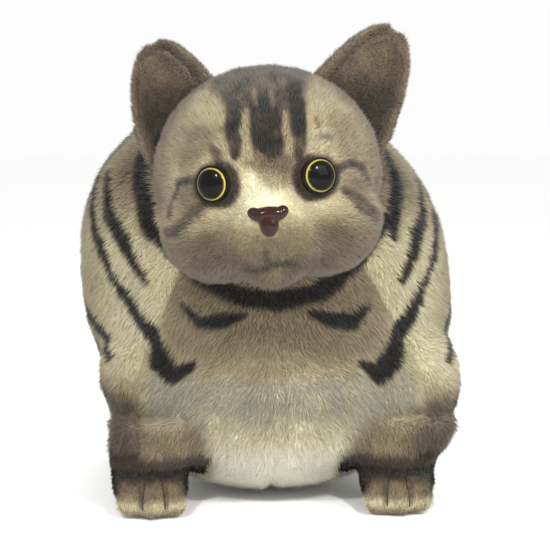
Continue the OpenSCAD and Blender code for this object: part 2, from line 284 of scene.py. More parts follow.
def lean_of(heights):
    """How far to the cat's right the body stands at each height, in mm, from its middle."""
    return LEAN * (heights - TORSO_AT.z / MM) * step(heights, LEAN_FROM, LEAN_FULL)


def upright(points):
    """x without the lean, and z, in mm."""
    z = points[:, 2] / MM
    return points[:, 0] / MM + lean_of(z), z


def barrel(back, around):
    """The angles of a point on the torso, from its place along it and round it from the top."""
    reach = TORSO_HALF.x * math.sqrt(max(0.02, 1 - (back * MM / TORSO_HALF.y) ** 2))
    a = math.radians(around)
    p = Vector((math.sin(a) * reach, back * MM, math.cos(a) * reach)).normalized()
    return math.degrees(math.atan2(p.x, -p.y)), math.degrees(math.asin(p.z))


def flank_marks():
    """Pairs of dashes down each flank, and the dark line along the spine."""
    marks = []
    for i, start in enumerate(FLANK_STARTS):
        lean = 10 if i % 2 else 16
        first = [(10, 3), (30, 5.5), (52, 5 - i % 2), (66 + 4 * (i % 3), 2)]
        second = [(74 + 5 * (i % 2), 2.5), (90, 5 - i % 3), (108, 4.6), (118 - 5 * (i % 2), 2)]
        for dash in (first, second):
            marks.append([(*barrel(start + lean * math.sin(math.radians(r)), r), w)
                          for r, w in dash])
    return marks


def print_torso(points, colour_noise):
    """The torso's printed colour at points in the row frame."""
    offset = (points - np.array(TORSO_AT)) / MM
    wobble = np.stack([cloud(points, 0.011, s) for s in (3, 4, 5)], 1) * 1.3
    d = offset + wobble
    d /= np.linalg.norm(d, axis=1)[:, None]
    height = np.degrees(np.arcsin(d[:, 2]))
    around = np.degrees(np.arctan2(d[:, 0], -d[:, 1]))
    x, z = upright(points)
    soft = 1.5 + 7 * step(-height, 2, 20)
    side = np.maximum(np.abs(x) + SEAM_LEAN * z - SEAM_REACH, np.abs(x) - SEAM_DROP) / soft
    side = step(side, -1, 1)
    belly = np.full((len(points), 3), (124.0, 115, 88))
    belly = over(belly, (154, 149, 120), step(np.abs(around), 14, 38) * step(-height, -4, 8))
    belly = over(belly, (156, 152, 130), step(-height, 9, 22))
    belly = over(belly, (218, 215, 196), step(-height, 24, 38))
    belly = over(belly, (250, 249, 240), step(-height, 35, 46))
    flank = np.full((len(points), 3), (198.0, 192, 152))
    flank = over(flank, (88, 82, 67), 0.9 * step(height, 10, 38))
    flank = over(flank, (152, 145, 118), 0.85 * step(np.abs(around), 46, 74))
    flank = over(flank, (60, 55, 40), 0.85 * step(-height, 18, 29) * step(np.abs(x), 70, 86))
    colours = belly + (flank - belly) * side[:, None]
    beside = np.hypot(np.abs(points[:, 0]) / MM - 70, np.abs(points[:, 1]) / MM - 82)
    leg = step(36 - beside, -7, 7) * step(-z, -64, -42)
    colours = over(colours, (124, 116, 92), 0.85 * leg)
    colours = over(colours, (74, 67, 50), 0.85 * leg * step(np.abs(points[:, 0]) / MM, 66, 84))
    colours *= 1 + 0.06 * (cloud(points, 0.022, 8) + colour_noise)[:, None]
    twin = d * np.array([-1, 1, 1])
    front = np.where(around >= 0, 1, 0)
    dark = stroke(d, BALL_R, COLLAR)
    for marks in [CHEST_MARK] + SIDE_MARKS:
        dark = np.maximum(dark, stroke(d, BALL_R, marks) * front)
        dark = np.maximum(dark, stroke(twin, BALL_R, marks) * (1 - front))
    behind = step(np.abs(around), 76, 84)
    for marks in flank_marks():
        both = np.maximum(stroke(d, BALL_R, marks), stroke(twin, BALL_R, marks))
        dark = np.maximum(dark, 0.94 * both * behind)
    spine = step(7 + 3 * cloud(points, 0.03, 12) - np.abs(offset[:, 0]), -2, 2)
    dark = np.maximum(dark, 0.85 * spine * step(height, 30, 45) * step(points[:, 1], -0.06, -0.03))
    return over(colours, (20, 19, 14), dark)


print("torso print:", 1 + len(SIDE_MARKS), "pairs of marks and", len(flank_marks()), "flank dashes")

# %% [markdown]
# ## The face's print, and its painted shade
# A slate patch comes over the crown and ends in three dark streaks above the eyes. Dark
# lines run back from the eyes, and the muzzle is cream. The chin is darkened brown with
# painted shade, and a dark ring of print and painted shade lies round each eye. The
# strokes are given in the head's own frame, so they turn with the head.

# %% Face print
HEAD_BALL_R = 57
SLATE, INK, BROWN = (58, 58, 52), (26, 24, 19), (80, 64, 46)
CREAM, SAND = (226, 214, 178), (166, 152, 118)
CROWN = [(2, 100, 27), (2, 72, 26), (3, 54, 22), (4, 40, 19), (4, 30, 15)]
BRIDGE = [(-3, 1, 9), (-2, -5, 11)]
PALE_BAND = [(-22, -9, 6), (-8, -10, 6), (10, -10, 6), (30, -10, 8)]
INK_MARKS = [
    ([(-19, 44, 3), (-17.5, 33, 4.6), (-16, 22, 3.6), (-15, 14, 2.2)], 1.0),
    ([(1, 42, 6), (2, 32, 8), (3.5, 22, 8.6), (4, 16, 5)], 0.86),
    ([(30, 52, 4), (23, 38, 4), (21, 27, 3.6), (20, 18, 3), (18, 12, 2)], 1.0),
    ([(-24, 29, 1.6)], 0.6),
    ([(-29, 19, 2.2), (-25, 15, 2.2), (-24, 9, 2)], 0.6),
    ([(34, 30, 1.6), (33, 26, 1.2)], 0.5),
    ([(33, 21, 1.2), (39, 19.5, 1.8)], 0.55),
    ([(-33, 2, 2.6), (-42, 4, 2.2), (-51, 2, 2), (-55, -6, 1.8), (-54, -12, 1.4)], 0.85),
    ([(-56, -19, 1.8), (-47, -18, 3), (-38, -12, 2.6), (-32, -9, 1.5)], 0.6),
    ([(37, 3, 2.4), (49, 6, 2), (58, 3, 2.2), (64, -6, 1.8), (65, -14, 1.6)], 0.85),
    ([(40, -7, 2), (47, -13, 4), (58, -19, 2.8)], 0.65),
    ([(-3, -29, 1.2), (-3, -35, 1)], 0.4),
    ([(-18, -41, 1), (-10, -40, 1.3), (0, -37, 1.6), (8, -36.5, 1.8), (13, -39, 1)], 0.62),
]
PALE_MARKS = [
    ([(-9, 40, 1.4), (-9.5, 27, 2.4), (-9, 14, 2.6)], 0.85),
    ([(14, 36, 1), (13.5, 26, 2), (13, 15, 2.4)], 0.75),
    ([(-5, 52, 1.6), (-3, 42, 1.4)], 0.5),
    ([(9, 50, 1.5), (8, 40, 1.2)], 0.5),
]
NAPE_MARKS = [[(150, 60, 4), (150, 30, 4), (150, 5, 2)], [(110, 62, 3), (112, 30, 4), (116, 0, 3)]]
BROWN_PATCHES = [
    ([(-44, -4, 6), (-37, -8, 6)], 0.45), ([(45, -6, 5), (55, -6, 4)], 0.4),
    ([(-20, -33, 5), (-14, -40, 5)], 0.5), ([(14, -40, 6), (30, -42, 6)], 0.5),
    ([(-4, 13, 7), (10, 12, 8)], 0.6), ([(4, 5, 9)], 0.45),
    ([(-37, 24, 8), (-44, 14, 7)], 0.3), ([(50, 28, 8), (52, 14, 7)], 0.25),
    ([(30, -24, 6), (36, -33, 7)], 0.3), ([(-30, -26, 5), (-34, -33, 7)], 0.2),
]
EYES = {"left": (25.5, -53.2, 1.0), "right": (-25.5, -53.2, 1.0)}


def in_head(points):
    """Points of the row frame in the head's own frame, in millimetres."""
    turned = np.array(HEAD.inverted())
    return (points @ turned[:3, :3].T + turned[:3, 3]) / MM


def print_and_shade_head(points, colour_noise):
    """The head's printed colour, with painted shade on the chin and round the eyes, at points in the row
    frame.
    """
    p = in_head(points)
    d = p + np.stack([cloud(points, 0.007, s) for s in (13, 14, 15)], 1) * 0.9
    d /= np.linalg.norm(d, axis=1)[:, None]
    height = np.degrees(np.arcsin(d[:, 2]))
    around = np.degrees(np.arctan2(d[:, 0], -d[:, 1]))
    colours = np.full((len(points), 3), SAND, float)
    colours = over(colours, (112, 102, 80), 0.85 * step(np.abs(around - 2), 52, 80))
    colours = over(colours, (106, 95, 66), 0.85 * step(-height, 14, 26))
    # Painted shade: the chin is darkened brown, as if in shade under the head.
    colours = over(colours, (98, 86, 60), 0.8 * step(-height, 40, 56))
    colours = over(colours, CREAM, 0.95 * stroke(d, HEAD_BALL_R, BRIDGE, 5))
    colours = over(colours, CREAM, 0.3 * stroke(d, HEAD_BALL_R, PALE_BAND, 5))
    for marks, share in BROWN_PATCHES:
        colours = over(colours, BROWN, share * stroke(d, HEAD_BALL_R, marks, 3.5))
    colours *= 1 + 0.09 * (cloud(points, 0.012, 18) + colour_noise)[:, None]
    mottle = 0.84 + 0.3 * cloud(points, 0.0045, 19)
    colours = over(colours, SLATE, mottle.clip(0, 1) * stroke(d, HEAD_BALL_R, CROWN, 3))
    for marks, share in INK_MARKS:
        colours = over(colours, INK, share * mottle.clip(0, 1) * stroke(d, HEAD_BALL_R, marks, 1.4))
    for marks, share in PALE_MARKS:
        colours = over(colours, SAND, share * stroke(d, HEAD_BALL_R, marks, 1.2))
    # Dark ring round each eye: partly dark print, and partly painted shade of the sunken socket.
    for x, y, z in EYES.values():
        away = np.linalg.norm(p[:, [0, 2]] - (x, z - 0.6), axis=1)
        rim = step(10.9 - away + np.clip((x - p[:, 0]) * np.sign(x) * 0.3, 0, 2), -1.4, 1.4)
        colours = over(colours, (30, 26, 19), 0.85 * rim * (p[:, 1] < 0))
    stripes = np.zeros(len(points))
    for marks in NAPE_MARKS:
        for side in (-1, 1):
            twin = [(side * turn, rise, half) for turn, rise, half in marks]
            stripes = np.maximum(stripes, stroke(d, HEAD_BALL_R, twin))
    return over(colours, INK, 0.9 * stripes)


print("face print:", len(INK_MARKS), "dark strokes")

# %% [markdown]
# ## The print of the legs, paws, ears and tail
# These parts are darker than the body. The legs have bands, the paws are brown over pale
# toes, and the tail has rings like the stripes of the flanks. Painted shade darkens the
# bowls of the ears and the creases between the toes.

# %% Leg, paw, ear and tail print
LEGS = {}
for leg_name in ("front_left", "front_right", "hind_left", "hind_right"):
    low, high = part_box(leg_name + "_leg_sleeve")
    LEGS[leg_name] = ((low.x + high.x) / 2, (low.y + high.y) / 2)
LEG_BANDS = (78, 62, 46, 33)


def print_leg(points, colour_noise):
    """Brown-grey bands on an umber ground, which pales up to the body."""
    height = points[:, 2] / MM
    across = np.abs(points[:, 0]) / MM
    colours = np.full((len(points), 3), (64.0, 55, 40))
    colours = over(colours, (124, 116, 94), step(height, 27, 36) * step(-across, -78, -62))
    colours *= 1 + 0.1 * (cloud(points, 0.01, 22) + colour_noise)[:, None]
    slope = height + 0.25 * across - 23 + 2.2 * cloud(points, 0.016, 23)
    outer = step(across, 58, 78)
    for band in LEG_BANDS:
        colours = over(colours, INK, 0.9 * outer * step(3.2 - np.abs(slope - band), -1.2, 1.2))
    return colours


def print_and_shade_paw(points, colour_noise):
    """Dark brown on top, and pale on the toes and round the sole, with painted shade in the creases between
    the toes.
    """
    near = min(LEGS.values(), key=lambda at: np.abs(points[:, :2] - at).sum(1).mean())
    x, y, z = ((points - (*near, 0)) / MM).T
    colours = np.full((len(points), 3), (28.0, 22, 13))
    colours = over(colours, (112, 97, 72), step(-y, 10, 22) * step(22 - z, -2, 6))
    colours = over(colours, (208, 192, 158), step(-y, 4, 20) * step(11 - z, -3, 5))
    colours = over(colours, (150, 134, 104), step(6 - z, -2, 3))
    # Painted shade in the two creases between the toes, where the dark toe threads lie.
    for groove in (-7, 7):
        colours = over(colours, (50, 40, 30), 0.5 * step(1.2 - np.abs(x - groove), -1, 1)
                       * step(-y, 14, 20) * step(z, 5, 9) * step(20 - z, 0, 4))
    return colours * (1 + 0.12 * (cloud(points, 0.008, 25) + colour_noise)[:, None])


def print_ear(points, colour_noise):
    """Soft brown-grey, a little mottled."""
    colours = np.full((len(points), 3), (100.0, 88, 68))
    return colours * (1 + 0.16 * (cloud(points, 0.009, 26) + colour_noise)[:, None])


def print_and_shade_ear_lining(points, colour_noise):
    """Dark with painted shade in the ear's bowl, and as pale as its back near the tip."""
    # Painted shade: the bowl of the ear is dark brown, and it lightens towards the tip.
    colours = np.full((len(points), 3), (42.0, 34, 20))
    colours = over(colours, (92, 80, 60), step(in_head(points)[:, 2], 36, 62))
    return colours * (1 + 0.2 * (cloud(points, 0.008, 27) + colour_noise)[:, None])


TAIL_AT = Vector(tail_joint["pos_m"])


def print_tail(points, colour_noise):
    """Rings across an umber tail with a dark tip."""
    run = np.linalg.norm(points - np.array(TAIL_AT), axis=1) / MM
    colours = np.full((len(points), 3), (128.0, 117, 92))
    colours *= 1 + 0.1 * (cloud(points, 0.012, 28) + colour_noise)[:, None]
    ring = np.cos(run * 2 * np.pi / 19 + cloud(points, 0.02, 29))
    return over(colours, (26, 24, 18), 0.95 * np.maximum(step(ring, 0.1, 0.6), step(run, 78, 84)))


# %% [markdown]
# ## Printed cloth
# The cloth under the pile has the same print, stored as a colour on its points, with fine
# noise for the roots of the fibres and a bump that shows where the pile parts.

# %% Cloth material
def printed_cloth():
    """Backing cloth whose colour comes from the coat attribute."""
    cloth = bpy.data.materials.new("printed_cloth")
    cloth.use_nodes = True
    tree = cloth.node_tree
    shader = tree.nodes["Principled BSDF"]
    coat = tree.nodes.new("ShaderNodeAttribute")
    coat.attribute_name = "coat"
    place = tree.nodes.new("ShaderNodeTexCoord")
    grain = tree.nodes.new("ShaderNodeTexNoise")
    grain.inputs["Scale"].default_value = 900
    grain.inputs["Detail"].default_value = 3
    shade = tree.nodes.new("ShaderNodeMix")
    shade.data_type, shade.blend_type = "RGBA", "MULTIPLY"
    shade.inputs["Factor"].default_value = 0.6
    bump = tree.nodes.new("ShaderNodeBump")
    bump.inputs["Strength"].default_value = 0.6
    bump.inputs["Distance"].default_value = 0.0006
    tree.links.new(place.outputs["Object"], grain.inputs["Vector"])
    tree.links.new(coat.outputs["Color"], shade.inputs["A"])
    tree.links.new(grain.outputs["Color"], shade.inputs["B"])
    tree.links.new(shade.outputs["Result"], shader.inputs["Base Color"])
    tree.links.new(grain.outputs["Fac"], bump.inputs["Height"])
    tree.links.new(bump.outputs["Normal"], shader.inputs["Normal"])
    shader.inputs["Roughness"].default_value = 0.95
    shader.inputs["Sheen Weight"].default_value = 0.2
    return cloth


CLOTH = printed_cloth()


def dye_cloth(piece, paint):
    """Stores the print on a piece's points and gives it the cloth material."""
    mesh = piece.data
    points = np.zeros(len(mesh.vertices) * 3)
    mesh.vertices.foreach_get("co", points)
    points = points.reshape(-1, 3)
    colours = linear(paint(points, np.zeros(len(points))).clip(0, 255))
    coat = mesh.attributes.get("coat") or mesh.attributes.new("coat", "FLOAT_COLOR", "POINT")
    coat.data.foreach_set("color", np.column_stack([colours, np.ones(len(points))]).ravel())
    mesh.materials.clear()
    mesh.materials.append(CLOTH)


# %% [markdown]
# ## Pile
# The fur is real geometry, because its soft outline is what makes the toy look like plush.
# Every hair is one three-sided spike. It is made once, and copies of it are laid over the
# cloth: each leans along the way the pile is combed, and neighbours lean alike, so that the
# pile falls in tufts. Hair particles would look the same here, but they aren't mesh.

# %% One hair, and the pile
bm = bmesh.new()
bmesh.ops.create_cone(bm, cap_ends=True, segments=3, radius1=0.5, radius2=0, depth=1)
bmesh.ops.translate(bm, verts=bm.verts, vec=(0, 0, 0.5))
bmesh.ops.remove_doubles(bm, verts=bm.verts, dist=1e-4)
bmesh.ops.triangulate(bm, faces=bm.faces)
bmesh.ops.recalc_face_normals(bm, faces=bm.faces)
HAIR_POINTS = np.array([v.co for v in bm.verts])
HAIR_FACES = np.array([[v.index for v in f.verts] for f in bm.faces])
bm.free()
print("a hair has", len(HAIR_FACES), "faces")


def read_triangles(mesh):
    """Corners and normals of a mesh's triangles, as arrays."""
    mesh.calc_loop_triangles()
    points = np.zeros(len(mesh.vertices) * 3)
    mesh.vertices.foreach_get("co", points)
    normals = np.zeros(len(mesh.vertices) * 3)
    mesh.vertex_normals.foreach_get("vector", normals)
    corners = np.zeros(len(mesh.loop_triangles) * 3, int)
    mesh.loop_triangles.foreach_get("vertices", corners)
    corners = corners.reshape(-1, 3)
    return points.reshape(-1, 3)[corners], normals.reshape(-1, 3)[corners]


def unit(vectors):
    """Vectors scaled to length 1."""
    return vectors / np.maximum(np.linalg.norm(vectors, axis=1), 1e-12)[:, None]


def grow_pile(name, cloth, count, paint, comb, reach, lie=36, width=0.5, keep=None, seed=1):
    """A mesh of `count` hairs on a cloth. comb gives their way, reach their length in mm."""
    chance = np.random.default_rng(seed)
    corners, corner_normals = read_triangles(cloth.data)
    sides = np.cross(corners[:, 1] - corners[:, 0], corners[:, 2] - corners[:, 0])
    area = np.linalg.norm(sides, axis=1)
    face = chance.choice(len(area), count, p=area / area.sum())
    a, b = np.sqrt(chance.random(count)), chance.random(count)
    mix = np.stack([1 - a, a * (1 - b), a * b], 1)[:, :, None]
    roots = (corners[face] * mix).sum(1)
    normals = unit((corner_normals[face] * mix).sum(1))
    way = comb(roots, normals)
    way = unit(way - (way * normals).sum(1)[:, None] * normals)
    across = np.cross(normals, way)
    swirl = 0.38 * cloud(roots, 0.0075, seed) + 0.25 * cloud(roots, 0.024, seed + 1)
    swirl += chance.normal(0, 0.2, count)
    lift = np.radians(lie) * (1 + 0.3 * cloud(roots, 0.006, seed + 2)) + chance.normal(0, 0.12, count)
    way = way * np.cos(swirl)[:, None] + across * np.sin(swirl)[:, None]
    lean = unit(way * np.cos(lift)[:, None] + normals * np.sin(lift)[:, None])
    length = reach(roots) * MM * (0.86 + 0.14 * cloud(roots, 0.005, seed + 3))
    length *= chance.uniform(0.8, 1.12, count)
    if keep is not None:
        kept = keep(roots, roots + lean * length[:, None])
        roots, normals, lean, length = roots[kept], normals[kept], lean[kept], length[kept]
        count = len(roots)
    flat = unit(np.cross(lean, normals))
    thick = np.cross(flat, lean)
    spin = chance.uniform(0, 2 * np.pi, count)
    u = flat * np.cos(spin)[:, None] + thick * np.sin(spin)[:, None]
    v = np.cross(lean, u)
    broad = width * MM * chance.uniform(0.8, 1.2, count)[:, None]
    base = roots - normals * 0.3 * MM
    parts = [base + u * (broad * x) + v * (broad * y) + lean * (length[:, None] * z)
             for x, y, z in HAIR_POINTS]
    points = np.stack(parts, 1).reshape(-1, 3)
    faces = (np.arange(count)[:, None, None] * len(HAIR_POINTS) + HAIR_FACES).reshape(-1, 3)
    middle = roots + lean * (0.55 * length)[:, None]
    wanted = paint(middle, 0.6 * cloud(roots, 0.004, seed + 4))
    wanted += chance.normal(0, 1, count)[:, None] * (4 + 0.055 * wanted)
    gap = ((wanted[:, None, :] - DYE_VALUES[None]) ** 2).sum(2)
    dye = gap.argmin(1)
    mesh = bpy.data.meshes.new(name)
    mesh.vertices.add(len(points))
    mesh.vertices.foreach_set("co", points.ravel())
    mesh.loops.add(faces.size)
    mesh.loops.foreach_set("vertex_index", faces.ravel())
    mesh.polygons.add(len(faces))
    mesh.polygons.foreach_set("loop_start", np.arange(0, faces.size, 3))
    mesh.polygons.foreach_set("material_index", np.repeat(dye, len(HAIR_FACES)))
    for fibre in FIBRES:
        mesh.materials.append(fibre)
    mesh.update(calc_edges=True)
    mesh.polygons.foreach_set("use_smooth", np.ones(len(faces), bool))
    pile = bpy.data.objects.new(name, mesh)
    bpy.context.scene.collection.objects.link(pile)
    print(name, count, "hairs")
    return pile


# %% [markdown]
# ## Tools for skins
# A stuffed form is blown from simple balls and cones that overlap. A voxel remesh makes
# them one skin, and smoothing rounds the joins, as filling does under cloth.

# %% Skin tools
def add_ball(bm, centre, half, detail=32):
    """A ball stretched to three half sizes, in millimetres."""
    made = bmesh.ops.create_uvsphere(bm, u_segments=2 * detail, v_segments=detail, radius=MM)
    bmesh.ops.scale(bm, verts=made["verts"], vec=half)
    bmesh.ops.translate(bm, verts=made["verts"], vec=Vector(centre) * MM)
    return made["verts"]


def add_post(bm, foot, top, r_foot, r_top):
    """A cone frustum from one point to another, in millimetres."""
    run = (Vector(top) - Vector(foot)) * MM
    made = bmesh.ops.create_cone(bm, cap_ends=True, segments=40, radius1=r_foot * MM,
                                 radius2=r_top * MM, depth=run.length)
    turn = run.to_track_quat("Z", "Y").to_matrix().to_4x4()
    middle = Matrix.Translation((Vector(foot) + Vector(top)) / 2 * MM)
    bmesh.ops.transform(bm, matrix=middle @ turn, verts=made["verts"])


def as_object(bm, name):
    """A new object that takes the bmesh, which is then freed."""
    mesh = bpy.data.meshes.new(name)
    bm.to_mesh(mesh)
    bm.free()
    piece = bpy.data.objects.new(name, mesh)
    bpy.context.scene.collection.objects.link(piece)
    return piece


def apply_modifiers(piece):
    """Bakes a piece's modifiers into its mesh."""
    bpy.context.view_layer.update()
    graph = bpy.context.evaluated_depsgraph_get()
    mesh = bpy.data.meshes.new_from_object(piece.evaluated_get(graph))
    piece.modifiers.clear()
    piece.data = mesh
    return piece


def blow(bm, name, voxel, rounds):
    """One smooth skin around everything in the bmesh."""
    piece = as_object(bm, name)
    skin = piece.modifiers.new("one_skin", "REMESH")
    skin.mode, skin.voxel_size = "VOXEL", voxel * MM
    even = piece.modifiers.new("even", "SMOOTH")
    even.factor, even.iterations = 0.5, rounds
    return apply_modifiers(piece)


def split(piece, cuts, region_of):
    """Cuts a skin at planes and returns one new object for each name that region_of gives."""
    bm = bmesh.new()
    bm.from_mesh(piece.data)
    for point, normal in cuts:
        everything = bm.verts[:] + bm.edges[:] + bm.faces[:]
        bmesh.ops.bisect_plane(bm, geom=everything, dist=1e-6, plane_co=point, plane_no=normal)
    names = [region_of(f.calc_center_median()) for f in bm.faces]
    whole = bpy.data.meshes.new("whole")
    bm.to_mesh(whole)
    bm.free()
    made = {}
    for name in sorted(set(n for n in names if n)):
        bm = bmesh.new()
        bm.from_mesh(whole)
        bm.faces.ensure_lookup_table()
        others = [bm.faces[i] for i, n in enumerate(names) if n != name]
        bmesh.ops.delete(bm, geom=others, context="FACES")
        made[name] = as_object(bm, name)
    bpy.data.objects.remove(piece)
    return made


def sew(piece, body, slot, *nodes, thick=1.2, fill=0.9):
    """Gives a cloth piece its thickness and smooth shading, ties it to its body, and hides the frame's
    parts that it stands for.
    """
    wall = piece.modifiers.new("cloth_thickness", "SOLIDIFY")
    wall.thickness, wall.offset = thick * MM, -1
    for face in piece.data.polygons:
        face.use_smooth = True
    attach(piece, body)
    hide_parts(*nodes)


def dress(pile, body):
    """A pile rides with its cloth."""
    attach(pile, body)


# %% [markdown]
# ## Torso and legs
# The barrel is a ball with slightly squared shoulders and a belly that hangs. It leans a
# little to the cat's right, as a toy stuffed by hand does. The legs swell out of it and end
# in fat paws with three toes. All of it is blown as one skin and cut where the seams run.
# A cloth simulation could fill each panel from flat and give it true wrinkles. Blown
# shapes are quicker to make and to change, and give none.

# %% Torso and leg skin
PILE_ROOM = 5.5
SQUARE_X, SQUARE_Y = 2.35, 2.1
ANKLE_Z = 27
BELLY_DROP = 9
bm = bmesh.new()
barrel_half = [h / MM - PILE_ROOM for h in TORSO_HALF]
made = bmesh.ops.create_icosphere(bm, subdivisions=6, radius=1)
for v in made["verts"]:
    n = v.co.normalized()
    power_x = SQUARE_X if n.z > -0.2 else SQUARE_X - 0.25
    ring = (abs(n.x) ** power_x + abs(n.z) ** power_x) ** (SQUARE_Y / power_x)
    v.co = n / (ring + abs(n.y) ** SQUARE_Y) ** (1 / SQUARE_Y)
bmesh.ops.scale(bm, verts=made["verts"], vec=barrel_half)
bmesh.ops.scale(bm, verts=made["verts"], vec=(MM, MM, MM))
bmesh.ops.translate(bm, verts=made["verts"], vec=TORSO_AT)
for x, y in LEGS.values():
    x, y = x / MM, y / MM
    out = math.copysign(1, x)
    ahead = math.copysign(1, y)
    add_ball(bm, (out * 50 + 2, ahead * 50, 70), (51, 50, 46))
    add_post(bm, (x + out * 2.5, y, 14), (x + out * 3, y * 0.97, 50), 18.5, 27)
    add_ball(bm, (x + out * 2.5, y - 4, 15.5), (20.5, 20.5, 15.5))
    for toe, reach_out, r in ((-11.5, -20, 7.6), (0, -22.5, 8.4), (11.5, -20, 7.6)):
        add_ball(bm, (x + out * 1.5 + toe, y + reach_out, 8.4), (r, r, r), detail=12)
hang = TORSO_AT.z / MM - barrel_half[2] - BELLY_DROP
add_ball(bm, (0, -18, hang + 66), (98, 99, 66), 40)
body_skin = blow(bm, "body_skin", 3.4, 4)


def near_leg(p):
    """The name of the leg that a point of the skin belongs to, or None."""
    for name, (x, y) in LEGS.items():
        if math.hypot(p.x - x, p.y + 2 * MM - y) < 31 * MM and p.z < 35 * MM:
            return name
    return None


print("body skin:", len(body_skin.data.polygons), "faces")

# %% [markdown]
# ## Cutting the body where the seams run
# Two long seams part the sides from the belly, and a third runs down the middle of the
# chest. The skin is cut at those planes, sunk a little along them, and each panel becomes
# its own piece. At the neck the skin stops at the plane in which the head turns.

# %% Body panels
SEAM_CUTS = [(Vector((SEAM_REACH * MM, 0, 0)), Vector((1, 0, SEAM_LEAN)).normalized()),
             (Vector((-SEAM_REACH * MM, 0, 0)), Vector((-1, 0, SEAM_LEAN)).normalized()),
             (Vector((SEAM_DROP * MM, 0, 0)), Vector((1, 0, 0))),
             (Vector((-SEAM_DROP * MM, 0, 0)), Vector((1, 0, 0))),
             (Vector((0, 0, 0)), Vector((1, 0, 0))),
             (Vector((0, 100.35, 20)) * MM, Vector((0, 244, 250)).normalized()),
             (Vector((0, 0, ANKLE_Z * MM)), Vector((0, 0, 1))),
             (Vector((0, 0, 1.6 * MM)), Vector((0, 0, 1)))]
NECK_CLEAR = 1.6 * MM
neck_upright = NECK_AT + Vector((float(lean_of(np.array([NECK_AT.z / MM]))[0]) * MM, 0, 0))
neck_way = Vector((NECK_AXIS.x, NECK_AXIS.y, NECK_AXIS.z - LEAN * NECK_AXIS.x)).normalized()
bm = bmesh.new()
bm.from_mesh(body_skin.data)
everything = bm.verts[:] + bm.edges[:] + bm.faces[:]
bmesh.ops.bisect_plane(bm, geom=everything, plane_co=neck_upright - neck_way * NECK_CLEAR,
                       plane_no=neck_way, clear_outer=True)
bm.to_mesh(body_skin.data)
bm.free()


def seam_depth(x, y, z):
    """How near points of an upright body are to a seam, 0 to 1, from places in mm."""
    under = (y - 100.35) * 244 + (z - 20) * 250 < 0
    side = np.maximum((np.abs(x) + SEAM_LEAN * z - SEAM_REACH) / math.hypot(1, SEAM_LEAN),
                      np.abs(x) - SEAM_DROP)
    near = np.exp(-(side / 3.2) ** 2)
    return under * np.maximum(near, 0.6 * np.exp(-(x / 2.6) ** 2) * (side < 0))


def body_region(p):
    """The panel that a point of the body's skin belongs to."""
    leg = near_leg(p)
    if leg:
        if p.z < 1.6 * MM:
            return leg + "_sole_cloth"
        return leg + ("_paw_cloth" if p.z < ANKLE_Z * MM else "_sleeve_cloth")
    x, y, z = p.x / MM, p.y / MM, p.z / MM
    under = (y - 100.35) * 244 + (z - 20) * 250 < 0
    belly = under and abs(x) + SEAM_LEAN * z < SEAM_REACH and abs(x) < SEAM_DROP
    return ("left_" if x > 0 else "right_") + ("belly_cloth" if belly else "side_cloth")


bm = bmesh.new()
bm.from_mesh(body_skin.data)
for point, normal in SEAM_CUTS[:6]:
    everything = bm.verts[:] + bm.edges[:] + bm.faces[:]
    bmesh.ops.bisect_plane(bm, geom=everything, dist=1e-6, plane_co=point, plane_no=normal)
bm.normal_update()
for v in bm.verts:
    if v.co.z > 34 * MM or abs(v.co.x) < 30 * MM:
        v.co -= v.normal * 2.4 * MM * float(seam_depth(*(v.co / MM)))
bm.to_mesh(body_skin.data)
bm.free()
body = split(body_skin, SEAM_CUTS[6:], body_region)
for piece in body.values():
    for v in piece.data.vertices:
        v.co.x -= float(lean_of(np.array([v.co.z / MM]))[0]) * MM
        v.co.z = max(v.co.z, 0.2 * MM)
print("body panels:", ", ".join(sorted(body)))

for name, piece in body.items():
    if name.endswith(("side_cloth", "belly_cloth")):
        dye_cloth(piece, print_torso)
    elif name.endswith("sleeve_cloth"):
        dye_cloth(piece, print_leg)
    else:
        dye_cloth(piece, print_and_shade_paw)
sew(body["left_side_cloth"], "torso", "side_pile", "left_side_panel", "body_filling")
sew(body["right_side_cloth"], "torso", "side_pile", "right_side_panel")
sew(body["left_belly_cloth"], "torso", "belly_pile", "left_belly_panel")
sew(body["right_belly_cloth"], "torso", "belly_pile", "right_belly_panel")
for leg in LEGS:
    sew(body[leg + "_sleeve_cloth"], "torso", "leg_pile", leg + "_leg_sleeve", leg + "_leg_filling")
    sew(body[leg + "_paw_cloth"], "torso", "paw_pile", leg + "_paw_cover")
    sew(body[leg + "_sole_cloth"], "torso", "sole_pile", leg + "_paw_sole")

# %% [markdown]
# ## The body's pile
# The body is combed down and back, and the chest parts down the middle. Pile is shorter
# along the seams, where it is sheared before sewing, and beside the neck's joint.

# %% Combing the body
def comb_body(points, normals):
    """Down and back, and outwards from the middle of the chest."""
    x, z = points[:, 0] / MM, points[:, 2] / MM
    way = np.zeros_like(points)
    way[:, 0] = np.tanh(x / 12) * np.where(np.abs(x) < 70, 0.45, 0.1)
    way[:, 1] = 0.35 + 0.6 * step(points[:, 1] / MM, -60, 20)
    way[:, 2] = -1
    return way


def reach_body(points):
    """7 mm, and less at seams and beside the neck."""
    x, z = upright(points)
    near = seam_depth(x, points[:, 1] / MM, z)
    run = (points - np.array(NECK_AT)) @ np.array(NECK_AXIS) / MM
    return (7.2 - 3.4 * near) * (0.65 + 0.35 * step(-run, 2, 9))


def reach_leg(points):
    return 4.2 + 2 * step(points[:, 2] / MM, 30, 50)


def comb_leg(points, normals):
    return np.tile((0.0, -0.12, -1.0), (len(points), 1))


def reach_paw(points):
    return 2.8 + 1.2 * step(points[:, 2] / MM, 2, 8)


def comb_paw(points, normals):
    return np.tile((0.0, -0.8, -0.7), (len(points), 1))


def front_half(roots, tips):
    """True for hairs ahead of the torso's middle."""
    return roots[:, 1] < TORSO_AT.y


def back_half(roots, tips):
    """True for hairs behind the torso's middle."""
    return roots[:, 1] >= TORSO_AT.y


